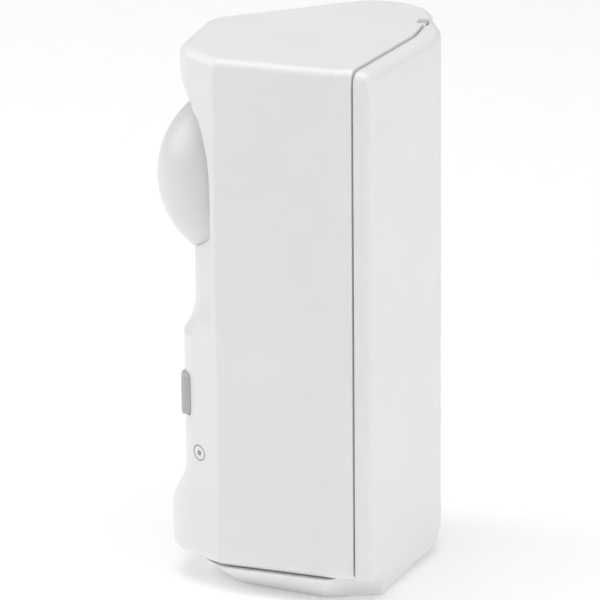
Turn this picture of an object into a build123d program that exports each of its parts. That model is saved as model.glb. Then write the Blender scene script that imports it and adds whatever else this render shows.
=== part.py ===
"""Wall or shelf motion sensor: housing, dome lens, button, board, cells and rear shell.

Frame: millimetres, +Z up, the flat rear face looks along +Y and the nose points to -Y,
turned towards +X.  The origin is the centre of the base, on the surface it stands on.
"""
import os
from math import cos, pi, radians, sin

from build123d import *

os.makedirs("parts", exist_ok=True)

# ---------------------------------------------------------------- driving dimensions
total_height = 130.0
wall = 2.0                 # wall thickness of the mouldings
seam_gap = 0.5             # dark gap between the cover and the rear shell
cover_floor_z = 6.5        # underside of the cover and of the rear shell
top_fillet = 2.2

# plan of the whole body: corner points from the near rear corner, and their radii
near_rear = (27.4, 29.2)
near_bend = (30.6, 21.2)
near_front = (32.9, -7.9)
near_corner_radii = (1.8, 1.2, 1.8)
nose_near, nose_near_radius = (25.6, -21.1), 12.0
nose_far, nose_far_radius = (-1.2, -25.6), 8.0
far_side = (-16.0, -12.5)
far_corner, far_corner_radius = (-41.6, 10.1), 14.5
rear_far, rear_far_radius = (-14.2, 29.2), 20.0
rear_face_y = near_rear[1]

# seam between the cover and the rear shell
seam_y = 25.0
seam_bend_x = -6.0
seam_drop = 0.2            # the far end of the seam comes forward by this slope

# sensor axis: horizontal, turned from -Y towards +X
axis_deg = 25.4
axis_x = sin(radians(axis_deg))
axis_y = -cos(radians(axis_deg))

# dome lens: an arc about a centre on the sensor axis, turned about an upright line
dome_centre = (12.7, -7.4)
dome_z = 98.0
dome_radius = 22.5
dome_turn = 6.9            # the turning line is this far in front of the dome centre
lens_skin = 1.0
lens_back = 6.9            # rear rim of the lens, in front of the dome centre
lens_gap = 0.2
nose_zone_depth = 7.0      # rear of the thicker nose wall, in front of the dome centre
retainer_half_height = 20.6
retainer_post_side = 9.5
retainer_post_rise = 14.5

# scooped recess round the lens
recess_depth = 2.8
recess_near_radii = (6.0, 6.0, 6.0)
recess_proud = 0.25        # the recess floor's ramps end this far outside the body
recess_root = 7.6          # rear of the recess, in front of the dome centre
recess_side = -0.1         # its middle, towards the near side
recess_half_width = 16.6
recess_arch_z = 98.0
recess_arch_height = 26.5
recess_top_z = 125.5
recess_full_top_z = 111.0
recess_full_bottom_z = 69.5
recess_bottom_z = 60.5

# chin at the bottom of the nose
chin_bulge = 3.6
chin_sunk = 0.3            # the chin's top ends this far inside the nose
chin_top_z = 28.2
chin_z = 17.3
chin_round = 3.0

# button on the lower nose, measured from the dome centre along the axis
nose_face = 16.0
button_z = 46.2
button_width = 5.2
button_height = 10.0
button_corner = 1.2
button_stand = 1.55
button_gap = 0.25
button_side = 6.4          # towards the near side of the sensor axis
button_root = 10.0         # rear of the button's flange
stem_tip = -1.5            # rear end of the button's stem

# board, across the sensor axis behind the detector element
board_front = -6.4
board_thickness = 1.6
board_rear = board_front - board_thickness
board_half_width = 15.5
board_screw_core = 0.9
board_screw_reach = 5.0
board_screw_places = [(-12.8, 37.5), (12.8, 37.5), (-12.8, 104.0), (12.8, 104.0)]
board_bottom_z = 34.0
board_top_z = 114.5

# detector element and board parts: (towards the near side, height or rise)
spacer_height = 2.8
can_height = 4.2
lead_places = [(0.0, 2.54), (-2.2, -1.27), (2.2, -1.27)]
radio_side = -3.5
radio_z = 66.0
aerial_side = -13.6
aerial_low_z = 56.0
aerial_high_z = 92.0
controller_side = 9.5
controller_z = 66.0
# side, height, width, rise, stand of each small part
small_chips = [
    (-9.5, 52.0, 3.2, 1.6, 0.9), (-5.5, 53.5, 1.6, 0.8, 0.6), (-5.5, 51.5, 1.6, 0.8, 0.6),
    (12.0, 55.5, 1.6, 0.8, 0.6), (9.5, 55.5, 1.6, 0.8, 0.6), (7.0, 55.5, 1.6, 0.8, 0.6),
    (7.5, 77.0, 5.0, 4.4, 1.6), (12.5, 77.0, 1.6, 3.2, 0.9), (-1.0, 79.0, 0.8, 1.6, 0.6),
    (-3.0, 79.0, 0.8, 1.6, 0.6), (-5.0, 79.0, 0.8, 1.6, 0.6), (-9.5, 45.0, 2.0, 1.3, 0.8),
    (-8.0, 38.0, 3.2, 2.5, 1.2), (0.0, 36.5, 6.0, 3.2, 1.6), (7.0, 37.0, 1.6, 0.8, 0.6),
]

# cells and their bay
plate_thick = 0.4
dimple_height = 1.7
cell_radius = 7.25
cell_length = 50.5
cell_near_x = 13.0
cell_far_x = -3.0
cell_y = 16.55
bay_bottom_z = 18.0
bay_top_z = 77.0
bay_rear_y = 23.8
bay_wall = 1.2
bay_clearance = 0.5
spring_room = 5.5

# rear shell and its knock-outs for wall screws
knockout_skin = 0.5
shell_top_z = 129.4
shell_fillet = 2.6
screw_hole_radius = 2.25
screw_hole_x = 3.0
screw_hole_low_z = 30.0
screw_hole_high_z = 100.0

# fixings: screw shank and head, core hole, and the bosses that take them
shank_radius = 1.2
head_radius = 2.5
head_height = 1.6
screw_core = 1.05
screw_reach = 9.0
boss_radius = 3.0
chassis_front_y = 8.0
chassis_low_z = 11.0
chassis_high_z = 124.5
chassis_screw_places = [(26.0, 14.5), (26.0, 121.0), (-21.5, 14.5), (-21.5, 121.0)]

# pegs of the rear shell and their sockets in the chassis
peg_places = [(24.2, 34.0), (24.2, 100.0), (-14.8, 34.0), (-14.8, 100.0)]
peg_radius = 1.8
peg_tip_y = 15.0
socket_radius = 3.0
socket_rear_y = 21.8
rib_heights = [20.0, 50.0, 80.0, 115.0]
rib_mid_x = 5.0
rib_length = 42.0
rib_front_y = 26.2

# lip of the rear shell, inside the cover
lip_thick = 1.0
lip_depth = 1.8
lip_low_z = 9.5
lip_high_z = 125.0

# release latch in the top wall, at the far end of the seam
latch_x = -17.5
latch_width = 3.0
latch_thick = 1.6
latch_guide_z = 122.0
latch_foot_z = 112.0
latch_shelf_z = 105.0

# tamper switch on the chassis
tamper_x = -15.0
tamper_z = 66.0
tamper_y = 16.5

# foot
foot_wall = 2.2
foot_boss_height = 7.0
foot_head_z = 2.4
foot_boss_low_z = 0.6
foot_screw_places = [(19.0, -6.0), (0.0, -8.0), (4.0, 17.0)]
foot_top = [(30.8, 18.4), (32.7, -7.4), (25.0, -19.0), (-0.5, -23.4), (-29.0, 2.0),
            (-29.0, 17.6), (-13.6, 28.4), (18.5, 28.7)]
foot_base = [(25.0, 16.0), (24.2, -6.0), (17.5, -15.5), (2.0, -16.5), (-18.0, 1.5),
             (-20.0, 15.5), (-11.0, 25.2), (18.2, 27.6)]
foot_radii = [1.0, 6.0, 7.0, 6.0, 8.0, 8.0, 8.0, 1.0]
foot_mid_z = 3.2
# how far each corner of the middle section stands out, from base (0) to top (1)
foot_swell = [0.5, 0.5, 0.55, 0.6, 0.75, 0.85, 0.85, 0.5]


# ---------------------------------------------------------------- helpers
def along(distance, side=0.0):
    """Point in plan at a distance in front of the dome centre, and to the near side."""
    return (
        dome_centre[0] + axis_x * distance - axis_y * side,
        dome_centre[1] + axis_y * distance + axis_x * side,
    )


def axis_plane(distance, z=0.0, side=0.0):
    """Plane across the sensor axis: x to the near side, y up, z out of the nose."""
    x, y = along(distance, side)
    return Plane(origin=(x, y, z), x_dir=(-axis_y, axis_x, 0), z_dir=(axis_x, axis_y, 0))


def rounded(corners, radii):
    """Face inside a closed row of corners, each rounded by its own radius."""
    with BuildSketch(mode=Mode.PRIVATE) as face:
        with BuildLine():
            Polyline(*corners, close=True)
        make_face()
        for corner, radius in zip(corners, radii):
            if radius > 0:
                tip = face.vertices().sort_by_distance((corner[0], corner[1], 0))[0]
                fillet(tip, radius)
    return face.sketch


def body_plan(bulge=0.0, inset=0.0, near_radii=near_corner_radii):
    """Plan of the body; bulge pushes the nose out, inset shrinks the outline."""
    push = (axis_x * bulge, axis_y * bulge)
    corners = [near_rear, near_bend, near_front]
    corners += [(x + push[0], y + push[1]) for x, y in (nose_near, nose_far)]
    radii = [*near_radii, nose_near_radius, nose_far_radius]
    if bulge != 0:
        corners.append(far_side)
        radii.append(0)
    corners += [far_corner, rear_far]
    radii += [far_corner_radius, rear_far_radius]
    with BuildSketch(mode=Mode.PRIVATE) as plan:
        add(rounded(corners, radii))
        if inset != 0:
            offset(amount=-inset)
    return plan.sketch


def behind_seam(distance=0.0):
    """Plan of everything behind the seam, moved back by a distance."""
    far_x = -60.0
    corners = [
        (60.0, seam_y + distance),
        (seam_bend_x, seam_y + distance),
        (far_x, seam_y + distance + seam_drop * (far_x - seam_bend_x)),
        (far_x, 60.0),
        (60.0, 60.0),
    ]
    return rounded(corners, [0, 20.0, 0, 0, 0])


def lens_body(radius, back):
    """Solid of the dome's outer or inner form, from its rear rim forward."""
    height = (radius**2 - dome_turn**2) ** 0.5
    with BuildPart(mode=Mode.PRIVATE) as form:
        turn_x, turn_y = along(dome_turn)
        profile = Plane(origin=(turn_x, turn_y, dome_z), x_dir=(axis_x, axis_y, 0),
                        z_dir=(axis_y, -axis_x, 0))
        with BuildSketch(profile):
            with BuildLine():
                ThreePointArc((0, -height), (radius - dome_turn, 0), (0, height))
                Line((0, height), (0, -height))
            make_face()
        revolve(axis=Axis((turn_x, turn_y, 0), (0, 0, 1)))
        split(bisect_by=axis_plane(back), keep=Keep.TOP)
    return form.part


def latch_plane(height):
    """Level plane at the latch: x along the seam, y towards the rear."""
    seam_point_y = seam_y + seam_drop * (latch_x - seam_bend_x)
    length = (1 + seam_drop**2) ** 0.5
    return Plane(origin=(latch_x, seam_point_y, height),
                 x_dir=(1 / length, seam_drop / length, 0), z_dir=(0, 0, 1))


def save(piece, name):
    piece.part.label = name
    export_step(piece.part, f"parts/{name}.step")


# ---------------------------------------------------------------- front cover
with BuildPart() as recess_floor:
    # what stays standing inside the recess: the body shrunk, and ramped out at both ends
    with BuildSketch(Plane.XY.offset(recess_full_bottom_z)):
        add(body_plan(inset=recess_depth, near_radii=recess_near_radii))
    extrude(amount=recess_full_top_z - recess_full_bottom_z)
    ramp_steps = 4
    for start_z, end_z in ((recess_full_top_z, recess_top_z), (recess_full_bottom_z, recess_bottom_z)):
        for step in range(ramp_steps + 1):
            part_way = step / ramp_steps
            inset = recess_depth - (recess_depth + recess_proud) * part_way**2
            with BuildSketch(Plane.XY.offset(start_z + (end_z - start_z) * part_way)):
                add(body_plan(inset=inset, near_radii=recess_near_radii))
        loft()

with BuildPart() as recess_tool:
    straight_height = recess_arch_z - recess_bottom_z
    with BuildSketch(axis_plane(recess_root)):
        with Locations((recess_side, recess_bottom_z + straight_height / 2)):
            Rectangle(2 * recess_half_width, straight_height)
        with Locations((recess_side, recess_arch_z)):
            Ellipse(recess_half_width, recess_arch_height)
    extrude(amount=40)
    add(recess_floor.part, mode=Mode.SUBTRACT)

nose_wall = recess_depth + wall
nose_zone_z = recess_bottom_z - wall
ceiling_z = total_height - wall - 0.5

# rear part of the cavity, behind the thicker nose wall
with BuildPart() as rear_zone:
    with BuildSketch(Plane.XY.offset(nose_zone_z)):
        add(body_plan(inset=wall))
    extrude(amount=ceiling_z - nose_zone_z)
    split(bisect_by=axis_plane(nose_zone_depth), keep=Keep.BOTTOM)

# screw bosses from the nose walls back to the chassis, and the room they may fill
with BuildPart() as bosses:
    with BuildSketch(Plane.XZ.offset(-chassis_front_y)):
        with Locations(*chassis_screw_places):
            Circle(boss_radius)
    extrude(amount=30)

with BuildPart() as inside:
    with BuildSketch(Plane.XY.offset(cover_floor_z + 0.5)):
        add(body_plan(inset=wall / 2))
    extrude(amount=total_height - cover_floor_z - 1.5)
    add(recess_tool.part, mode=Mode.SUBTRACT)

with BuildPart() as front_cover:
    with BuildSketch(Plane.XY.offset(cover_floor_z)):
        add(body_plan())
    extrude(amount=total_height - cover_floor_z)
    fillet(front_cover.faces().sort_by(Axis.Z)[-1].edges(), top_fillet)
    with BuildSketch(Plane.XY.offset(cover_floor_z)):
        add(body_plan(bulge=chin_bulge))
    extrude(amount=chin_z - cover_floor_z)
    chin_steps = 5
    for step in range(chin_steps + 1):
        part_way = step / chin_steps
        ease = (1 + cos(pi * part_way)) / 2
        with BuildSketch(Plane.XY.offset(chin_z + (chin_top_z - chin_z) * part_way)):
            add(body_plan(bulge=(chin_bulge + chin_sunk) * ease - chin_sunk))
    loft()
    add(recess_tool.part, mode=Mode.SUBTRACT)

    # bottom edge of the chin, then everything behind the seam
    bottom_edges = front_cover.faces().sort_by(Axis.Z)[0].edges().filter_by_position(Axis.Y, -40, -3)
    fillet(bottom_edges, chin_round)
    with BuildSketch(Plane.XY):
        add(behind_seam())
    extrude(amount=2 * total_height, mode=Mode.SUBTRACT)
    # cavity: thin walls low down and at the back, a deeper nose behind the recess
    with BuildSketch(Plane.XY.offset(cover_floor_z + wall)):
        add(body_plan(inset=wall))
    extrude(amount=nose_zone_z - cover_floor_z - wall, mode=Mode.SUBTRACT)
    with BuildSketch(Plane.XY.offset(nose_zone_z)):
        add(body_plan(inset=nose_wall))
    extrude(amount=ceiling_z - nose_zone_z, mode=Mode.SUBTRACT)
    add(rear_zone.part, mode=Mode.SUBTRACT)
    add(lens_body(dome_radius + lens_gap, lens_back - 1.0), mode=Mode.SUBTRACT)
    # button window
    with BuildSketch(axis_plane(5.0, button_z, button_side)):
        RectangleRounded(button_width + 2 * button_gap, button_height + 2 * button_gap,
                         button_corner + button_gap)
    extrude(amount=20, mode=Mode.SUBTRACT)
    # bosses for the chassis screws, from the nose walls back to the chassis
    add(inside.part.intersect(bosses.part))
    with BuildSketch(Plane.XZ.offset(-chassis_front_y)):
        with Locations(*chassis_screw_places):
            Circle(screw_core)
    extrude(amount=screw_reach, mode=Mode.SUBTRACT)
    # bosses for the foot screws
    with BuildSketch(Plane.XY.offset(cover_floor_z + 1)):
        with Locations(*foot_screw_places):
            Circle(boss_radius)
    extrude(amount=foot_boss_height - 1)
    with BuildSketch(Plane.XY.offset(cover_floor_z)):
        with Locations(*foot_screw_places):
            Circle(screw_core)
    extrude(amount=foot_boss_height - 1, mode=Mode.SUBTRACT)
    # slot for the release latch, in the top wall at the far end of the seam
    with BuildSketch(latch_plane(latch_guide_z)):
        with Locations((0, -latch_thick / 2)):
            Rectangle(latch_width + 0.6, latch_thick + 0.6)
    extrude(amount=total_height, mode=Mode.SUBTRACT)

save(front_cover, "front_cover")

# ---------------------------------------------------------------- rear shell
with BuildPart() as shell_lip:
    with BuildSketch(Plane.XY.offset(lip_low_z)):
        add(body_plan(inset=wall / 2))
        add(body_plan(inset=wall + 0.3 + lip_thick), mode=Mode.SUBTRACT)
        add(behind_seam(-lip_depth), mode=Mode.INTERSECT)
        with Locations((8, rear_face_y)):
            Rectangle(34, 8, mode=Mode.SUBTRACT)
    extrude(amount=lip_high_z - lip_low_z)
    with BuildSketch(Plane.XY.offset(lip_low_z)):
        add(body_plan(inset=wall / 2))
        add(body_plan(inset=wall + 0.3), mode=Mode.SUBTRACT)
        add(behind_seam(seam_gap), mode=Mode.SUBTRACT)
    extrude(amount=lip_high_z - lip_low_z, mode=Mode.SUBTRACT)
    with BuildSketch(Plane.XY.offset(latch_shelf_z - 2.0)):
        with Locations((latch_x, seam_y)):
            Rectangle(9.0, 16.0)
    extrude(amount=total_height, mode=Mode.SUBTRACT)

shell_floor_z = cover_floor_z + 0.3

# everything behind the seam
with BuildPart() as kept:
    with BuildSketch(Plane.XY):
        add(behind_seam(seam_gap))
    extrude(amount=2 * total_height)

# shallow pocket inside the shell
with BuildPart() as pocket:
    with BuildSketch(Plane.XY.offset(shell_floor_z + wall)):
        add(body_plan(inset=wall))
    extrude(amount=shell_top_z - shell_floor_z - 3 * wall)

with BuildPart() as outline:
    with BuildSketch(Plane.XY):
        add(body_plan(inset=wall / 2))
    extrude(amount=total_height)

# pegs that push into the chassis sockets, and stiffening ribs, all inside the outline
with BuildPart() as fittings:
    with BuildSketch(Plane.XZ.offset(-rear_face_y)):
        with Locations(*peg_places):
            Circle(peg_radius)
    extrude(amount=rear_face_y - peg_tip_y)
    with BuildSketch(Plane.XZ.offset(-rear_face_y)):
        for rib_z in rib_heights:
            with Locations((rib_mid_x, rib_z)):
                Rectangle(rib_length, 1.2)
    extrude(amount=rear_face_y - rib_front_y)
    add(outline.part, mode=Mode.INTERSECT)

with BuildPart() as rear_shell:
    with BuildSketch(Plane.XY.offset(shell_floor_z)):
        add(body_plan())
    extrude(amount=shell_top_z - shell_floor_z)
    fillet(rear_shell.faces().sort_by(Axis.Z)[-1].edges(), shell_fillet)
    add(kept.part, mode=Mode.INTERSECT)
    add(pocket.part, mode=Mode.SUBTRACT)
    add(fittings.part)
    # lip that reaches into the cover and closes the seam to light
    add(shell_lip.part)
    # knock-outs for wall screws: blind from inside, so the back stays plain
    with BuildSketch(Plane.XZ.offset(-(rear_face_y - knockout_skin))):
        with Locations((screw_hole_x, screw_hole_low_z), (screw_hole_x, screw_hole_high_z)):
            Circle(screw_hole_radius)
    extrude(amount=10, mode=Mode.SUBTRACT)
    # notch in the rim that leaves the release latch free
    with BuildSketch(latch_plane(latch_guide_z)):
        with Locations((0, 0.2)):
            RectangleRounded(latch_width + 0.6, 1.6, 0.7)
    extrude(amount=total_height, mode=Mode.SUBTRACT)

save(rear_shell, "rear_shell")

# ---------------------------------------------------------------- foot
with BuildPart() as base_foot:
    with BuildSketch(Plane.XY):
        add(rounded(foot_base, foot_radii))
    foot_mid = [
        (low[0] + (high[0] - low[0]) * swell, low[1] + (high[1] - low[1]) * swell)
        for low, high, swell in zip(foot_base, foot_top, foot_swell)
    ]
    with BuildSketch(Plane.XY.offset(foot_mid_z)):
        add(rounded(foot_mid, foot_radii))
    with BuildSketch(Plane.XY.offset(cover_floor_z)):
        add(rounded(foot_top, foot_radii))
    loft()
    with BuildSketch(Plane.XY):
        add(rounded(foot_base, foot_radii))
        offset(amount=-foot_wall, mode=Mode.REPLACE)
    extrude(amount=cover_floor_z - foot_wall, mode=Mode.SUBTRACT)
    with BuildSketch(Plane.XY.offset(foot_boss_low_z)):
        with Locations(*foot_screw_places):
            Circle(head_radius + 1.4)
    extrude(amount=cover_floor_z - foot_boss_low_z)
    with BuildSketch(Plane.XY):
        with Locations(*foot_screw_places):
            Circle(head_radius + 0.2)
    extrude(amount=foot_head_z, mode=Mode.SUBTRACT)
    with BuildSketch(Plane.XY):
        with Locations(*foot_screw_places):
            Circle(shank_radius + 0.15)
    extrude(amount=cover_floor_z, mode=Mode.SUBTRACT)

save(base_foot, "base_foot")

# ---------------------------------------------------------------- lens and its retainer
with BuildPart() as lens_dome:
    add(lens_body(dome_radius, lens_back))
    add(lens_body(dome_radius - lens_skin, lens_back - 1), mode=Mode.SUBTRACT)

save(lens_dome, "lens_dome")

with BuildPart() as lens_retainer:
    with BuildSketch(axis_plane(lens_back - 0.1, dome_z)):
        Ellipse(dome_radius - dome_turn - 0.6, retainer_half_height)
        Ellipse(dome_radius - dome_turn - 2.6, retainer_half_height - 2.4, mode=Mode.SUBTRACT)
    extrude(amount=-1.4)
    with BuildSketch(axis_plane(board_front, dome_z)):
        with GridLocations(2 * retainer_post_side, 2 * retainer_post_rise, 2, 2):
            Circle(1.6)
    extrude(amount=lens_back - 0.6 - board_front)

save(lens_retainer, "lens_retainer")

# ---------------------------------------------------------------- button
with BuildPart() as system_button:
    with BuildSketch(axis_plane(button_root, button_z, button_side)):
        RectangleRounded(button_width, button_height, button_corner)
    extrude(amount=nose_face + button_stand - button_root)
    fillet(system_button.faces().sort_by(Axis((0, 0, 0), (axis_x, axis_y, 0)))[-1].edges(), 0.8)
    with BuildSketch(axis_plane(button_root, button_z, button_side)):
        RectangleRounded(button_width + 3.0, button_height + 3.0, button_corner)
    extrude(amount=1.4)
    with BuildSketch(axis_plane(button_root, button_z, button_side)):
        Circle(2.0)
    extrude(amount=-(button_root - stem_tip))

save(system_button, "system_button")

with BuildPart() as tact_switch:
    with BuildSketch(axis_plane(board_front, button_z, button_side)):
        RectangleRounded(6.0, 6.0, 0.5)
    extrude(amount=3.5)
    with BuildSketch(axis_plane(board_front + 3.5, button_z, button_side)):
        Circle(1.85)
    extrude(amount=-1.6, mode=Mode.SUBTRACT)

save(tact_switch, "tact_switch")

with BuildPart() as tact_plunger:
    with BuildSketch(axis_plane(stem_tip - 0.1, button_z, button_side)):
        Circle(1.75)
    extrude(amount=-(stem_tip - 0.1 - (board_front + 2.6)))

save(tact_plunger, "tact_plunger")

# ---------------------------------------------------------------- chassis
# inside of the mouldings, which nothing of the chassis may pass
with BuildPart() as inner:
    with BuildSketch(Plane.XY.offset(chassis_low_z)):
        add(body_plan(inset=wall + 0.3))
    extrude(amount=chassis_high_z - chassis_low_z)

# posts that carry the board across the sensor axis
with BuildPart() as posts:
    with BuildSketch(axis_plane(board_rear)):
        with Locations(*board_screw_places):
            Circle(2.6)
    extrude(amount=-40)
    with BuildSketch(Plane.XZ.offset(-(chassis_front_y + 0.6))):
        Rectangle(200, 400)
    extrude(amount=-60, mode=Mode.SUBTRACT)

with BuildPart() as chassis:
    bay_mid_x = (cell_near_x + cell_far_x) / 2
    bay_width = cell_near_x - cell_far_x + 2 * (cell_radius + bay_clearance)
    bay_height = bay_top_z - bay_bottom_z
    bay_mid_z = (bay_top_z + bay_bottom_z) / 2
    with BuildSketch(Plane.XZ.offset(-chassis_front_y)):
        with Locations((0, (chassis_low_z + chassis_high_z) / 2)):
            Rectangle(80, chassis_high_z - chassis_low_z)
    extrude(amount=-bay_wall)
    # cell bay
    with BuildSketch(Plane.XZ.offset(-chassis_front_y)):
        with Locations((bay_mid_x, bay_mid_z)):
            RectangleRounded(bay_width + 2 * bay_wall, bay_height + 2 * bay_wall, 1.5)
    extrude(amount=-(bay_rear_y - chassis_front_y))
    with BuildSketch(Plane.XZ.offset(-(chassis_front_y + bay_wall))):
        with Locations((bay_mid_x, bay_mid_z)):
            Rectangle(bay_width, bay_height)
    extrude(amount=-20, mode=Mode.SUBTRACT)
    # low rib between the cells
    with BuildSketch(Plane.XZ.offset(-(chassis_front_y + bay_wall))):
        with Locations((bay_mid_x, bay_mid_z)):
            Rectangle(0.9, bay_height - 16)
    extrude(amount=-3.5)
    # sockets for the rear shell's pegs
    with BuildSketch(Plane.XZ.offset(-chassis_front_y)):
        with Locations(*peg_places):
            Circle(socket_radius)
    extrude(amount=-(socket_rear_y - chassis_front_y))
    # post under the tamper switch
    with BuildSketch(Plane.XZ.offset(-chassis_front_y)):
        with Locations((tamper_x, tamper_z)):
            Rectangle(6.4, 7.0)
    extrude(amount=-(tamper_y - chassis_front_y))
    # shelf under the release latch's spring
    shelf_y = latch_plane(0).origin.Y
    with BuildSketch(Plane.XY.offset(latch_shelf_z)):
        with Locations((latch_x, (chassis_front_y + shelf_y) / 2)):
            Rectangle(6.0, shelf_y - chassis_front_y - 0.4)
    extrude(amount=-1.5)
    add(posts.part)
    add(inner.part, mode=Mode.INTERSECT)
    with BuildSketch(axis_plane(board_rear)):
        with Locations(*board_screw_places):
            Circle(board_screw_core)
    extrude(amount=-board_screw_reach, mode=Mode.SUBTRACT)
    with BuildSketch(Plane.XZ.offset(-(chassis_front_y - 1))):
        with Locations(*peg_places):
            Circle(peg_radius + 0.08)
        with Locations(*chassis_screw_places):
            Circle(shank_radius + 0.2)
    extrude(amount=-30, mode=Mode.SUBTRACT)

save(chassis, "chassis")

# ---------------------------------------------------------------- board and what is on it
with BuildPart() as main_board:
    board_height = board_top_z - board_bottom_z
    with BuildSketch(axis_plane(board_rear)):
        with Locations((0, board_bottom_z + board_height / 2)):
            RectangleRounded(2 * board_half_width, board_height, 1.5)
        with Locations(*board_screw_places):
            Circle(1.1, mode=Mode.SUBTRACT)
        with Locations(*[(side, dome_z + rise) for side, rise in lead_places]):
            Circle(0.45, mode=Mode.SUBTRACT)
    extrude(amount=board_thickness)

save(main_board, "main_board")

with BuildPart() as board_screws:
    with BuildSketch(axis_plane(board_front)):
        with Locations(*board_screw_places):
            Circle(1.9)
    extrude(amount=1.3)
    with BuildSketch(axis_plane(board_front)):
        with Locations(*board_screw_places):
            Circle(0.85)
    extrude(amount=-5.6)
    with BuildSketch(axis_plane(board_front + 1.3)):
        for side, height in board_screw_places:
            with Locations((side, height)):
                Rectangle(2.4, 0.5)
                Rectangle(0.5, 2.4)
    extrude(amount=-0.7, mode=Mode.SUBTRACT)

save(board_screws, "board_screws")

with BuildPart() as pir_spacer:
    with BuildSketch(axis_plane(board_front, dome_z)):
        Circle(5.0)
        with Locations(*lead_places):
            Circle(0.45, mode=Mode.SUBTRACT)
    extrude(amount=spacer_height)

save(pir_spacer, "pir_spacer")

with BuildPart() as pir_can:
    can_base = board_front + spacer_height
    with BuildSketch(axis_plane(can_base, dome_z)):
        Circle(4.6)
    extrude(amount=0.5)
    with BuildSketch(axis_plane(can_base, dome_z)):
        Circle(4.1)
    extrude(amount=can_height)
    fillet(pir_can.edges().filter_by(GeomType.CIRCLE).sort_by(
        Axis((0, 0, 0), (axis_x, axis_y, 0)))[-1], 0.4)
    with BuildSketch(axis_plane(can_base + can_height, dome_z)):
        Rectangle(4.6, 3.6)
    extrude(amount=-0.6, mode=Mode.SUBTRACT)

save(pir_can, "pir_can")

with BuildPart() as pir_window:
    with BuildSketch(axis_plane(can_base + can_height - 0.1, dome_z)):
        Rectangle(4.5, 3.5)
    extrude(amount=-0.5)

save(pir_window, "pir_window")

with BuildPart() as pir_leads:
    with BuildSketch(axis_plane(can_base, dome_z)):
        with Locations(*lead_places):
            Circle(0.25)
    extrude(amount=-(spacer_height + board_thickness + 1.0))

save(pir_leads, "pir_leads")

with BuildPart() as radio_module:
    with BuildSketch(axis_plane(board_front, radio_z, radio_side)):
        Rectangle(16.0, 15.0)
        with GridLocations(16.0, 1.8, 2, 7):
            Circle(0.45, mode=Mode.SUBTRACT)
    extrude(amount=0.8)

save(radio_module, "radio_module")

with BuildPart() as radio_shield:
    with BuildSketch(axis_plane(board_front + 0.8, radio_z, radio_side)):
        RectangleRounded(12.4, 12.0, 0.6)
    extrude(amount=2.2)
    fillet(radio_shield.faces().sort_by(Axis((0, 0, 0), (axis_x, axis_y, 0)))[-1].edges(), 0.3)

save(radio_shield, "radio_shield")

with BuildPart() as antenna:
    aerial_x, aerial_y = along(0, aerial_side)
    aerial_plane = Plane(origin=(aerial_x, aerial_y, 0), x_dir=(axis_x, axis_y, 0),
                         z_dir=(axis_y, -axis_x, 0))
    with BuildLine(aerial_plane) as aerial_line:
        FilletPolyline((board_front, aerial_low_z), (board_front + 3.0, aerial_low_z),
                       (board_front + 3.0, aerial_high_z), (board_front, aerial_high_z),
                       radius=1.2)
    with BuildSketch(Plane(origin=aerial_line.line @ 0, z_dir=aerial_line.line % 0)):
        Circle(0.4)
    sweep()

save(antenna, "antenna")

with BuildPart() as controller_chip:
    with BuildSketch(axis_plane(board_front, controller_z, controller_side)):
        Rectangle(7.0, 7.0)
    extrude(amount=1.0)
    with BuildSketch(axis_plane(board_front, controller_z, controller_side)):
        with GridLocations(7.4, 0.8, 2, 7):
            Rectangle(0.6, 0.35)
        with GridLocations(0.8, 7.4, 7, 2):
            Rectangle(0.35, 0.6)
    extrude(amount=0.25)
    with BuildSketch(axis_plane(board_front + 1.0, controller_z + 2.6, controller_side - 2.6)):
        Circle(0.4)
    extrude(amount=-0.15, mode=Mode.SUBTRACT)

save(controller_chip, "controller_chip")

with BuildPart() as chip_parts:
    for side, height, width, rise, stand in small_chips:
        with BuildSketch(axis_plane(board_front, height, side)):
            Rectangle(width, rise)
        extrude(amount=stand)

save(chip_parts, "chip_parts")

with BuildPart() as status_led:
    with BuildSketch(axis_plane(board_front, button_z, button_side + 6.5)):
        Rectangle(3.0, 1.6)
    extrude(amount=0.6)
    with BuildSketch(axis_plane(board_front + 0.6, button_z, button_side + 6.5)):
        Rectangle(2.0, 1.4)
    extrude(amount=0.6, taper=8)

save(status_led, "status_led")

with BuildPart() as light_sensor:
    with BuildSketch(axis_plane(board_front, button_z, button_side - 6.5)):
        Rectangle(2.2, 2.2)
    extrude(amount=0.9)

save(light_sensor, "light_sensor")


# ---------------------------------------------------------------- cells and contacts
def cell_points(cell_x, low_z, upward):
    """Heights of a cell's body and terminal, from its low end."""
    nub_height = 1.3
    body_length = cell_length - nub_height
    if upward:
        return (cell_x, low_z, body_length, low_z + body_length, nub_height)
    return (cell_x, low_z + nub_height, body_length, low_z, nub_height)


cells = {
    "cell_near": cell_points(cell_near_x, bay_bottom_z + plate_thick + spring_room, True),
    "cell_far": cell_points(cell_far_x, bay_bottom_z + plate_thick + dimple_height, False),
}
for cell_name, (cell_x, body_z, body_length, nub_z, nub_height) in cells.items():
    with BuildPart() as cell:
        with BuildSketch(Plane.XY.offset(body_z)):
            with Locations((cell_x, cell_y)):
                Circle(cell_radius)
        extrude(amount=body_length)
        fillet(cell.edges().filter_by(GeomType.CIRCLE), 0.5)
        with BuildSketch(Plane.XY.offset(nub_z)):
            with Locations((cell_x, cell_y)):
                Circle(2.7)
        extrude(amount=nub_height)
    save(cell, cell_name)

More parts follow.
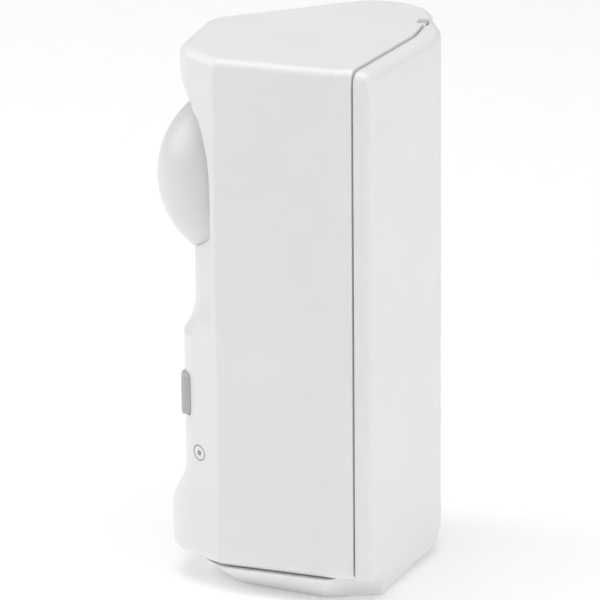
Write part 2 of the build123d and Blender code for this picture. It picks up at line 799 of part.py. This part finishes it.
spring_lows = {
    "contact_spring_near": (cell_near_x, bay_bottom_z + plate_thick),
    "contact_spring_far": (cell_far_x, bay_top_z - plate_thick - spring_room),
}
for spring_name, (spring_x, spring_z) in spring_lows.items():
    with BuildPart() as spring:
        with BuildLine() as coil:
            Helix(pitch=1.2, height=spring_room - 0.6, radius=3.0,
                  center=(spring_x, cell_y, spring_z + 0.3))
        with BuildSketch(Plane(origin=coil.line @ 0, z_dir=coil.line % 0)):
            Circle(0.3)
        sweep(is_frenet=True)
    save(spring, spring_name)

with BuildPart() as contact_plates:
    with BuildSketch(Plane.XY.offset(bay_bottom_z)):
        with Locations((cell_near_x, cell_y), (cell_far_x, cell_y)):
            RectangleRounded(10.0, 10.0, 1.0)
    extrude(amount=plate_thick)
    with BuildSketch(Plane.XY.offset(bay_bottom_z + plate_thick)):
        with Locations((cell_far_x, cell_y)):
            Circle(1.8)
    extrude(amount=dimple_height)

save(contact_plates, "contact_plates")

with BuildPart() as contact_bridge:
    with BuildSketch(Plane.XY.offset(bay_top_z - plate_thick)):
        with Locations(((cell_near_x + cell_far_x) / 2, cell_y)):
            RectangleRounded(cell_near_x - cell_far_x + 10.0, 10.0, 1.0)
    extrude(amount=plate_thick)
    near_top_z = cells["cell_near"][3] + cells["cell_near"][4]
    with BuildSketch(Plane.XY.offset(near_top_z)):
        with Locations((cell_near_x, cell_y)):
            Circle(1.8)
    extrude(amount=bay_top_z - plate_thick - near_top_z)

save(contact_bridge, "contact_bridge")

# ---------------------------------------------------------------- tamper switch
with BuildPart() as tamper_switch:
    with BuildSketch(Plane.XZ.offset(-tamper_y)):
        with Locations((tamper_x, tamper_z)):
            Rectangle(5.6, 6.6)
    extrude(amount=-4.0)
    with BuildSketch(Plane.XZ.offset(-(tamper_y + 4.0))):
        with Locations((tamper_x, tamper_z)):
            Circle(1.25)
    extrude(amount=2.6, mode=Mode.SUBTRACT)

save(tamper_switch, "tamper_switch")

with BuildPart() as tamper_plunger:
    shell_front_y = seam_y + seam_gap + seam_drop * (tamper_x - seam_bend_x)
    with BuildSketch(Plane.XZ.offset(-(tamper_y + 2.6))):
        with Locations((tamper_x, tamper_z)):
            Circle(1.18)
    extrude(amount=-(shell_front_y - 0.55 - tamper_y - 2.6))
    fillet(tamper_plunger.edges().filter_by(GeomType.CIRCLE).sort_by(Axis.Y)[-1], 0.5)

save(tamper_plunger, "tamper_plunger")

# ---------------------------------------------------------------- release latch
with BuildPart() as release_latch:
    with BuildSketch(latch_plane(latch_foot_z)):
        with Locations((0, -latch_thick / 2)):
            Rectangle(latch_width, latch_thick)
    extrude(amount=total_height - 0.8 - latch_foot_z)
    fillet(release_latch.faces().sort_by(Axis.Z)[-1].edges(), 0.4)
    with BuildSketch(latch_plane(latch_foot_z)):
        with Locations((0, -latch_thick / 2 - 0.9)):
            Rectangle(latch_width, latch_thick + 1.8)
    extrude(amount=1.2)

save(release_latch, "release_latch")

with BuildPart() as latch_spring:
    spring_plane = latch_plane(0)
    spring_mid = spring_plane.from_local_coords((0, -latch_thick / 2 - 0.9, 0))
    with BuildLine() as latch_coil:
        Helix(pitch=1.1, height=latch_foot_z - latch_shelf_z - 0.4, radius=1.2,
              center=(spring_mid.X, spring_mid.Y, latch_shelf_z + 0.2))
    with BuildSketch(Plane(origin=latch_coil.line @ 0, z_dir=latch_coil.line % 0)):
        Circle(0.18)
    sweep(is_frenet=True)

save(latch_spring, "latch_spring")

# ---------------------------------------------------------------- screws
with BuildPart() as chassis_screws:
    with BuildSketch(Plane.XZ.offset(-(chassis_front_y + bay_wall))):
        with Locations(*chassis_screw_places):
            Circle(head_radius)
    extrude(amount=-head_height)
    with BuildSketch(Plane.XZ.offset(-(chassis_front_y + bay_wall))):
        with Locations(*chassis_screw_places):
            Circle(screw_core - 0.02)
    extrude(amount=screw_reach)
    with BuildSketch(Plane.XZ.offset(-(chassis_front_y + bay_wall + head_height))):
        with Locations(*chassis_screw_places):
            Rectangle(3.2, 0.6)
            Rectangle(0.6, 3.2)
    extrude(amount=0.9, mode=Mode.SUBTRACT)

save(chassis_screws, "chassis_screws")

with BuildPart() as foot_screws:
    with BuildSketch(Plane.XY.offset(foot_head_z)):
        with Locations(*foot_screw_places):
            Circle(head_radius)
    extrude(amount=-(head_height - 0.2))
    with BuildSketch(Plane.XY.offset(foot_head_z)):
        with Locations(*foot_screw_places):
            Circle(screw_core - 0.02)
    extrude(amount=foot_boss_height + 1.0)
    with BuildSketch(Plane.XY.offset(foot_head_z - head_height + 0.2)):
        with Locations(*foot_screw_places):
            Rectangle(3.2, 0.6)
            Rectangle(0.6, 3.2)
    extrude(amount=0.8, mode=Mode.SUBTRACT)

save(foot_screws, "foot_screws")
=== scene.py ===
"""Looks of the motion sensor: moulded white plastic, a milky faceted lens and the parts inside."""
import bpy
import bmesh
from math import asin, cos, pi, radians, sin, sqrt
from mathutils import Matrix, Vector
from mathutils.bvhtree import BVHTree


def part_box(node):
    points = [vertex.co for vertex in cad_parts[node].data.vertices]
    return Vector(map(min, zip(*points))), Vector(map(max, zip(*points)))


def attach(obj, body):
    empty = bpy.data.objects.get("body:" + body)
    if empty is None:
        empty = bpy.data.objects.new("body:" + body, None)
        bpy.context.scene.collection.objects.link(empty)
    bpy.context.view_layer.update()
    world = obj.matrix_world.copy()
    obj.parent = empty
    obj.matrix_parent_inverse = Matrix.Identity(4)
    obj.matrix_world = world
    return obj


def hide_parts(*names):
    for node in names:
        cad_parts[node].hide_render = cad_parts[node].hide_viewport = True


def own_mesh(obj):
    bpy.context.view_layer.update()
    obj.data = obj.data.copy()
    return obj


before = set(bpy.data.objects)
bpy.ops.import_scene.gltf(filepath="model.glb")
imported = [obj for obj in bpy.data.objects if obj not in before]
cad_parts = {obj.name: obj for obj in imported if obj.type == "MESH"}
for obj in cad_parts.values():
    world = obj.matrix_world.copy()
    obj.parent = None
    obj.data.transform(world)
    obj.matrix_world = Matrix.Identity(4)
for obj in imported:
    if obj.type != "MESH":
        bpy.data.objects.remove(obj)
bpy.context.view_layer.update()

# ---------------------------------------------------------------- driving values, in metres
# camera at the reference viewing angle
view_azimuth, view_elevation, view_roll = 115.4, 18.0, -0.47
view_distance, view_lens = 1.24, 324.0
view_target = Vector((0.0307, 0.0127, 0.0746))

# the sensor axis: level, from the dome's turning line out of the nose
axis_deg = 25.4
axis_out = Vector((sin(radians(axis_deg)), -cos(radians(axis_deg)), 0))
axis_side = Vector((cos(radians(axis_deg)), sin(radians(axis_deg)), 0))
up = Vector((0, 0, 1))

# lens: radius of its upright arc, and how far that arc's centre lies behind the turning line
lens_radius = 0.0225
lens_turn = 0.0069
lens_skin = 0.0008
lenslet_depth = 0.00035
lens_grid = 120              # strips in height and in width of the lens mesh
lens_rim_share = 0.995       # the mesh stops just short of the dome's flat edge
lens_least_reach = 0.3       # the inner skin keeps at least this share of the outer reach
# lenslet rows: upper limit as a share of the half height, and lenslets across
lens_rows = [(-0.62, 3), (-0.22, 5), (0.2, 7), (0.6, 7), (1.0, 5)]

# strengths of the studio light, in watts
world_strength = 0.33
top_power, front_power, back_power = 14.8, 6.2, 4.6
floor_glow = 0.14

# cells: height of the nub, width of the sleeve's ring over each end, and the band's share of the length
cell_nub = 0.0013
cell_end_ring = 0.0009
cell_band_share = 0.3

# spring of the latch: radius of its wire, rise of a turn, steps to a turn and sides around the wire
coil_wire = 0.00018
coil_pitch = 0.0011
coil_turn_steps, coil_wire_sides = 36, 10

# printed mark on the nose: height of its middle, its place to the near side, ring and dot
mark_height = 0.033
mark_side = 0.012
mark_radius = 0.0019
mark_stroke = 0.00028
mark_dot_share = 0.32
mark_hole = 0.0001
ink_above, ink_below = 0.00002, -0.00004
mark_segments = 48

# size of the floor, and edges of the softboxes above and at the sides
floor_size = 6.0
top_box_size, side_box_size = 1.4, 1.0
sensor_width = 36.0


# ---------------------------------------------------------------- materials
def shader(name):
    """A new material with its nodes, links and Principled shader."""
    material = bpy.data.materials.new(name)
    material.use_nodes = True
    nodes = material.node_tree.nodes
    return material, nodes, material.node_tree.links, nodes["Principled BSDF"]


def noise(nodes, links, scale, detail=3.0, stretch=(1, 1, 1)):
    """Noise over the object's own coordinates, scale in features per metre."""
    coords = nodes.new("ShaderNodeTexCoord")
    mapping = nodes.new("ShaderNodeMapping")
    mapping.inputs["Scale"].default_value = stretch
    texture = nodes.new("ShaderNodeTexNoise")
    texture.inputs["Scale"].default_value = scale
    texture.inputs["Detail"].default_value = detail
    links.new(coords.outputs["Object"], mapping.inputs["Vector"])
    links.new(mapping.outputs["Vector"], texture.inputs["Vector"])
    return texture.outputs["Fac"]


def spread(nodes, links, value, low, high):
    """Value's middle range mapped to low..high."""
    ramp = nodes.new("ShaderNodeMapRange")
    ramp.inputs["From Min"].default_value = 0.3
    ramp.inputs["From Max"].default_value = 0.7
    ramp.inputs["To Min"].default_value = low
    ramp.inputs["To Max"].default_value = high
    links.new(value, ramp.inputs["Value"])
    return ramp.outputs["Result"]


def tint(nodes, links, value, first, second):
    """Colour between two by a value from 0 to 1."""
    mix = nodes.new("ShaderNodeMix")
    mix.data_type = "RGBA"
    mix.inputs["A"].default_value = (*first, 1)
    mix.inputs["B"].default_value = (*second, 1)
    links.new(value, mix.inputs["Factor"])
    return mix.outputs["Result"]


def bump(nodes, links, value, principled, strength, depth):
    """Surface relief of a depth in metres."""
    relief = nodes.new("ShaderNodeBump")
    relief.inputs["Strength"].default_value = strength
    relief.inputs["Distance"].default_value = depth
    links.new(value, relief.inputs["Height"])
    links.new(relief.outputs["Normal"], principled.inputs["Normal"])


def plastic(name, color, roughness, grain=5200.0, relief=0.25, shade=0.03, glow=0.0):
    """Moulded plastic: spark-eroded grain, cloudy sheen and a slight drift in shade."""
    material, nodes, links, principled = shader(name)
    darker = tuple(channel * (1 - shade) for channel in color)
    drift = spread(nodes, links, noise(nodes, links, 45.0), 0.0, 1.0)
    links.new(tint(nodes, links, drift, darker, color), principled.inputs["Base Color"])
    sheen = spread(nodes, links, noise(nodes, links, 160.0), roughness - 0.03, roughness + 0.04)
    links.new(sheen, principled.inputs["Roughness"])
    bump(nodes, links, noise(nodes, links, grain, detail=2.0), principled, relief, 0.00002)
    principled.inputs["IOR"].default_value = 1.49
    if glow > 0:
        principled.inputs["Subsurface Weight"].default_value = glow
        principled.inputs["Subsurface Radius"].default_value = (1.0, 1.0, 0.95)
        principled.inputs["Subsurface Scale"].default_value = 0.0012
    return material


def metal(name, color, roughness, stretch=(1, 1, 1), scale=1500.0):
    """Metal with fine drawn or rolled streaks."""
    material, nodes, links, principled = shader(name)
    streaks = noise(nodes, links, scale, stretch=stretch)
    darker = tuple(channel * 0.8 for channel in color)
    even = spread(nodes, links, streaks, 0.0, 1.0)
    links.new(tint(nodes, links, even, darker, color), principled.inputs["Base Color"])
    links.new(spread(nodes, links, streaks, roughness - 0.06, roughness + 0.1),
              principled.inputs["Roughness"])
    bump(nodes, links, streaks, principled, 0.2, 0.00001)
    principled.inputs["Metallic"].default_value = 1.0
    return material


def lens_plastic():
    """Milky thin moulding that lets some light through."""
    material, nodes, links, principled = shader("lens_milky")
    drift = spread(nodes, links, noise(nodes, links, 90.0), 0.0, 1.0)
    links.new(tint(nodes, links, drift, (0.90, 0.905, 0.905), (0.94, 0.945, 0.945)),
              principled.inputs["Base Color"])
    principled.inputs["Roughness"].default_value = 0.3
    bump(nodes, links, noise(nodes, links, 2600.0), principled, 0.12, 0.00001)
    principled.inputs["IOR"].default_value = 1.5
    principled.inputs["Subsurface Weight"].default_value = 0.5
    principled.inputs["Subsurface Radius"].default_value = (1.0, 1.0, 1.0)
    principled.inputs["Subsurface Scale"].default_value = 0.0015
    principled.inputs["Transmission Weight"].default_value = 0.12
    return material


def board_resist(name, color):
    """Circuit board: solder resist over a weave, with faint tracks."""
    material, nodes, links, principled = shader(name)
    coords = nodes.new("ShaderNodeTexCoord")
    tracks = nodes.new("ShaderNodeTexBrick")
    tracks.inputs["Scale"].default_value = 260.0
    tracks.inputs["Mortar Size"].default_value = 0.05
    tracks.inputs["Mortar Smooth"].default_value = 0.3
    links.new(coords.outputs["Object"], tracks.inputs["Vector"])
    lighter = tuple(min(1.0, channel * 1.7 + 0.01) for channel in color)
    links.new(tint(nodes, links, tracks.outputs["Fac"], color, lighter),
              principled.inputs["Base Color"])
    links.new(spread(nodes, links, noise(nodes, links, 900.0), 0.28, 0.42),
              principled.inputs["Roughness"])
    bump(nodes, links, tracks.outputs["Fac"], principled, 0.5, 0.00003)
    return material


def window_glass():
    """Dark infrared window with faint cloudiness."""
    material, nodes, links, principled = shader("infrared_window")
    cloud = spread(nodes, links, noise(nodes, links, 1200.0), 0.0, 1.0)
    links.new(tint(nodes, links, cloud, (0.03, 0.02, 0.03), (0.07, 0.04, 0.06)),
              principled.inputs["Base Color"])
    links.new(spread(nodes, links, noise(nodes, links, 700.0), 0.06, 0.14),
              principled.inputs["Roughness"])
    bump(nodes, links, cloud, principled, 0.1, 0.00001)
    return material


def floor_paper():
    """Pale seamless paper."""
    material, nodes, links, principled = shader("floor_paper")
    fibre = spread(nodes, links, noise(nodes, links, 140.0, detail=6.0), 0.0, 1.0)
    links.new(tint(nodes, links, fibre, (0.93, 0.93, 0.93), (0.96, 0.96, 0.96)),
              principled.inputs["Base Color"])
    principled.inputs["Roughness"].default_value = 0.85
    principled.inputs["Emission Color"].default_value = (1, 1, 1, 1)
    principled.inputs["Emission Strength"].default_value = floor_glow
    principled.inputs["Specular IOR Level"].default_value = 0.1
    return material


def paint(material, *names):
    """Give CAD nodes one material."""
    for name in names:
        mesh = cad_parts[name].data
        mesh.materials.clear()
        mesh.materials.append(material)


# ---------------------------------------------------------------- mesh helpers
def add_piece(name, mesh_data, material, body, smooth=True):
    """A new object from a bmesh, riding on a body."""
    mesh = bpy.data.meshes.new(name)
    bmesh.ops.recalc_face_normals(mesh_data, faces=mesh_data.faces)
    mesh_data.to_mesh(mesh)
    mesh_data.free()
    for face in mesh.polygons:
        face.use_smooth = smooth
    piece = bpy.data.objects.new(name, mesh)
    bpy.context.scene.collection.objects.link(piece)
    mesh.materials.append(material)
    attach(piece, body)
    return piece


def lathe(name, profile, centre, material, body, segments=72):
    """Profile of (radius, height) points turned about an upright line; it may start and end on it."""
    turned = bmesh.new()
    rows = []
    for radius, height in profile:
        row = []
        for index in range(segments):
            angle = 2 * pi * index / segments
            row.append(turned.verts.new((
                centre[0] + radius * cos(angle), centre[1] + radius * sin(angle), height)))
        rows.append(row)
    pairs = list(zip(rows, rows[1:]))
    if profile[0][0] > 0:
        pairs.append((rows[-1], rows[0]))
    for lower, upper in pairs:
        for index in range(segments):
            after = (index + 1) % segments
            turned.faces.new((lower[index], lower[after], upper[after], upper[index]))
    bmesh.ops.remove_doubles(turned, verts=turned.verts, dist=1e-7)
    return add_piece(name, turned, material, body)


# ---------------------------------------------------------------- lens
def lenslet(share, turn):
    """Extra thickness of the lenslet at a height share and a turn, both from -1 to 1."""
    low = -1.0
    for high, count in lens_rows:
        if share <= high:
            break
        low = high
    in_row = 2 * (share - low) / (high - low) - 1
    in_column = 2 * ((turn + 1) / 2 * count % 1.0) - 1
    return lenslet_depth * (1 - in_row**2) * (1 - in_column**2)


def lens_skin_piece(material):
    """Milky dome, smooth outside, with rows of lenslets moulded on its inside."""
    low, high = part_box("lens_dome")
    full_radius = lens_radius - lens_turn
    # the dome's furthest points along +X and -Y both lie a full radius from the turning line
    middle = Vector((high[0] - full_radius, low[1] + full_radius, (low[2] + high[2]) / 2))
    tilt_limit = lens_rim_share * asin(sqrt(1 - (lens_turn / lens_radius)**2))
    dome = bmesh.new()
    rows = []
    for row_index in range(lens_grid + 1):
        share = 2 * row_index / lens_grid - 1
        tilt = tilt_limit * share
        reach = lens_radius * cos(tilt) - lens_turn
        outer, inner = [], []
        for column in range(lens_grid + 1):
            turn = 2 * column / lens_grid - 1
            spoke = axis_out * cos(turn * pi / 2) + axis_side * sin(turn * pi / 2)
            depth = lens_skin + lenslet(share, turn)
            outer.append(dome.verts.new(middle + spoke * reach + up * lens_radius * sin(tilt)))
            inner_reach = max(reach - depth * cos(tilt), reach * lens_least_reach)
            inner_height = lens_radius * sin(tilt) - depth * sin(tilt)
            inner.append(dome.verts.new(middle + spoke * inner_reach + up * inner_height))
        rows.append((outer, inner))
    for (outer, inner), (outer_up, inner_up) in zip(rows, rows[1:]):
        for left in range(lens_grid):
            right = left + 1
            dome.faces.new((outer[left], outer[right], outer_up[right], outer_up[left]))
            dome.faces.new((inner[left], inner_up[left], inner_up[right], inner[right]))
        for end in (0, -1):
            dome.faces.new((outer[end], outer_up[end], inner_up[end], inner[end]))
    for outer, inner in (rows[0], rows[-1]):
        for left in range(lens_grid):
            dome.faces.new((outer[left], outer[left + 1], inner[left + 1], inner[left]))
    piece = add_piece("lens_skin", dome, material, "housing")
    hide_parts("lens_dome")


# ---------------------------------------------------------------- cells
def cell_pieces(node, nub_up, sleeve, band, steel):
    """One cell: a steel can with its nub, a plastic sleeve over it and a broad band."""
    low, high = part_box(node)
    radius = (high[0] - low[0]) / 2
    centre = ((low[0] + high[0]) / 2, (low[1] + high[1]) / 2)
    start, end = (low[2], high[2] - cell_nub) if nub_up else (high[2], low[2] + cell_nub)
    way = 1 if nub_up else -1
    can_radius = radius - 0.00012
    can = lathe(f"{node}_can", [
        (0, start), (can_radius - 0.0011, start), (can_radius - 0.0009, start + way * 0.0003),
        (can_radius - 0.0004, start + way * 0.0003), (can_radius, start + way * 0.0008),
        (can_radius, end - way * 0.0008), (can_radius - 0.0006, end - way * 0.0002),
        (0.0034, end - way * 0.0002), (0.0030, end), (0.0027, end + way * 0.0003),
        (0.0026, end + way * (cell_nub - 0.0002)), (0.0024, end + way * cell_nub),
        (0, end + way * cell_nub),
    ], centre, steel, "housing")
    inner = radius - 0.0001
    lathe(f"{node}_sleeve", [
        (inner - cell_end_ring, start + way * 0.00035), (inner - 0.0002, start + way * 0.0002),
        (radius, start + way * 0.0007), (radius, end - way * 0.0007),
        (inner - 0.0002, end - way * 0.0001), (inner - cell_end_ring, end - way * 0.00015),
        (inner - cell_end_ring, end - way * 0.0002), (inner - 0.0004, end - way * 0.0003),
        (inner, end - way * 0.0009), (inner, start + way * 0.0009),
    ], centre, sleeve, "housing")
    band_start = end - way * cell_band_share * abs(end - start)
    band_radius = radius + 0.00002
    lathe(f"{node}_band", [
        (radius - 0.00004, band_start), (band_radius, band_start + way * 0.00005),
        (band_radius, end - way * 0.00075), (radius - 0.00004, end - way * 0.0007),
    ], centre, band, "housing")
    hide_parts(node)


# ---------------------------------------------------------------- latch spring
def latch_coil_piece(material):
    """Coil under the release latch."""
    low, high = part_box("latch_spring")
    middle = (Vector(low) + Vector(high)) / 2
    coil_radius = (high[0] - low[0]) / 2 - coil_wire
    rise = high[2] - low[2] - 2 * coil_wire
    steps = round(rise / coil_pitch * coil_turn_steps)
    coil = bmesh.new()
    rows = []
    for step in range(steps + 1):
        turn = 2 * pi * step / coil_turn_steps
        out = Vector((cos(turn), sin(turn), 0))
        height = low[2] + coil_wire + rise * step / steps
        centre = Vector((middle[0], middle[1], height)) + out * coil_radius
        row = []
        for side in range(coil_wire_sides):
            angle = 2 * pi * side / coil_wire_sides
            row.append(coil.verts.new(centre + (out * cos(angle) + up * sin(angle)) * coil_wire))
        rows.append(row)
    for lower, upper in zip(rows, rows[1:]):
        for side in range(coil_wire_sides):
            after = (side + 1) % coil_wire_sides
            coil.faces.new((lower[side], lower[after], upper[after], upper[side]))
    coil.faces.new(rows[0])
    coil.faces.new(rows[-1])
    piece = add_piece("latch_coil", coil, material, "housing")
    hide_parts("latch_spring")
    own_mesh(piece)


# ---------------------------------------------------------------- printed mark
def printed_ring(name, cover, centre, inner, outer, material):
    """A thin printed ring that follows the nose; centre is (side, height)."""
    low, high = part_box("lens_dome")
    full_radius = lens_radius - lens_turn
    base = Vector((high[0] - full_radius, low[1] + full_radius, 0))
    ring = bmesh.new()
    rows = []
    for radius, lift in ((outer, ink_below), (outer, ink_above), (inner, ink_above), (inner, ink_below)):
        row = []
        for index in range(mark_segments):
            angle = 2 * pi * index / mark_segments
            side = centre[0] + radius * cos(angle)
            start = base + axis_side * side + up * (centre[1] + radius * sin(angle)) + axis_out * 0.05
            hit, normal, _, _ = cover.ray_cast(start, -axis_out)
            row.append(ring.verts.new(hit + normal * lift))
        rows.append(row)
    for lower, upper in zip(rows, rows[1:] + rows[:1]):
        for index in range(mark_segments):
            after = (index + 1) % mark_segments
            ring.faces.new((lower[index], lower[after], upper[after], upper[index]))
    add_piece(name, ring, material, "housing")


# ---------------------------------------------------------------- the object
white = plastic("housing_white", (0.88, 0.885, 0.89), 0.33, glow=0.12)
chassis_white = plastic("chassis_white", (0.80, 0.80, 0.79), 0.42)
grey = plastic("button_grey", (0.57, 0.575, 0.58), 0.36, relief=0.3)
black = plastic("switch_black", (0.035, 0.035, 0.037), 0.4)
chip = plastic("chip_epoxy", (0.03, 0.03, 0.03), 0.5, grain=9000.0, relief=0.4)
clear = plastic("led_diffuser", (0.86, 0.87, 0.86), 0.2, glow=0.5)
sleeve_black = plastic("cell_sleeve", (0.03, 0.035, 0.045), 0.24, grain=900.0, relief=0.08)
band_copper = metal("cell_band", (0.70, 0.46, 0.22), 0.28, stretch=(1, 1, 0.1), scale=900.0)
resist = board_resist("board_green", (0.02, 0.14, 0.07))
steel = metal("plated_steel", (0.74, 0.74, 0.73), 0.26, scale=900.0)
spring_steel = metal("spring_steel", (0.66, 0.66, 0.66), 0.3, stretch=(1, 1, 3))
screw_steel = metal("screw_steel", (0.60, 0.60, 0.61), 0.34, scale=2400.0)
brass = metal("aerial_wire", (0.78, 0.60, 0.32), 0.25, stretch=(1, 1, 0.2))
ink = plastic("grey_ink", (0.30, 0.31, 0.32), 0.5, grain=7000.0)

paint(white, "front_cover", "rear_shell", "base_foot", "release_latch")
paint(chassis_white, "chassis", "lens_retainer")
paint(grey, "system_button", "tamper_plunger")
paint(black, "tact_switch", "tact_plunger", "tamper_switch", "pir_spacer")
paint(chip, "controller_chip", "chip_parts", "light_sensor")
paint(clear, "status_led")
paint(resist, "main_board", "radio_module")
paint(steel, "pir_can", "pir_leads", "radio_shield", "contact_plates", "contact_bridge")
paint(spring_steel, "contact_spring_near", "contact_spring_far")
paint(screw_steel, "board_screws", "chassis_screws", "foot_screws")
paint(brass, "antenna")
paint(window_glass(), "pir_window")

lens_skin_piece(lens_plastic())
cell_pieces("cell_near", True, sleeve_black, band_copper, steel)
cell_pieces("cell_far", False, sleeve_black, band_copper, steel)
latch_coil_piece(spring_steel)

cover_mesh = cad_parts["front_cover"].data
nose = BVHTree.FromPolygons([vertex.co for vertex in cover_mesh.vertices],
                            [tuple(face.vertices) for face in cover_mesh.polygons])
mark_centre = (mark_side, mark_height)
printed_ring("printed_ring", nose, mark_centre, mark_radius - mark_stroke, mark_radius, ink)
printed_ring("printed_dot", nose, mark_centre, mark_hole, mark_radius * mark_dot_share, ink)


# ---------------------------------------------------------------- floor, light and camera
def softbox(name, place, size, power):
    """A square area light that looks at the object."""
    light = bpy.data.lights.new(name, "AREA")
    light.size = size
    light.energy = power
    lamp = bpy.data.objects.new(name, light)
    lamp.location = place
    lamp.rotation_euler = (view_target - Vector(place)).to_track_quat("-Z", "Y").to_euler()
    bpy.context.scene.collection.objects.link(lamp)


def studio():
    """Seamless paper, an even white surround and three softboxes."""
    floor_mesh = bmesh.new()
    bmesh.ops.create_grid(floor_mesh, x_segments=2, y_segments=2, size=floor_size)
    floor_data = bpy.data.meshes.new("floor")
    floor_mesh.to_mesh(floor_data)
    floor_mesh.free()
    floor = bpy.data.objects.new("floor", floor_data)
    floor_data.materials.append(floor_paper())
    bpy.context.scene.collection.objects.link(floor)
    world = bpy.data.worlds.new("studio")
    world.use_nodes = True
    background = world.node_tree.nodes["Background"]
    background.inputs["Color"].default_value = (1.0, 1.0, 1.0, 1)
    background.inputs["Strength"].default_value = world_strength
    bpy.context.scene.world = world
    softbox("softbox_top", (0.1, 0.0, 1.6), top_box_size, top_power)
    softbox("softbox_front", (0.35, -1.3, 0.7), side_box_size, front_power)
    softbox("softbox_back", (0.35, 1.3, 0.7), side_box_size, back_power)


def camera():
    """The scene's camera, turned by its small roll."""
    azimuth, elevation, roll = (radians(value) for value in (view_azimuth, view_elevation, view_roll))
    forward = Vector((-sin(azimuth) * cos(elevation), cos(azimuth) * cos(elevation), -sin(elevation)))
    level_right = Vector((cos(azimuth), sin(azimuth), 0))
    level_up = level_right.cross(forward)
    right = level_right * cos(roll) + level_up * sin(roll)
    upward = right.cross(forward)
    data = bpy.data.cameras.new("camera")
    data.lens = view_lens
    data.sensor_width = sensor_width
    eye = bpy.data.objects.new("camera", data)
    eye.matrix_world = Matrix.Translation(view_target - forward * view_distance) @ Matrix(
        (right, upward, -forward)).transposed().to_4x4()
    bpy.context.scene.collection.objects.link(eye)
    bpy.context.scene.camera = eye


studio()
camera()
bpy.context.scene.view_settings.view_transform = "Standard"
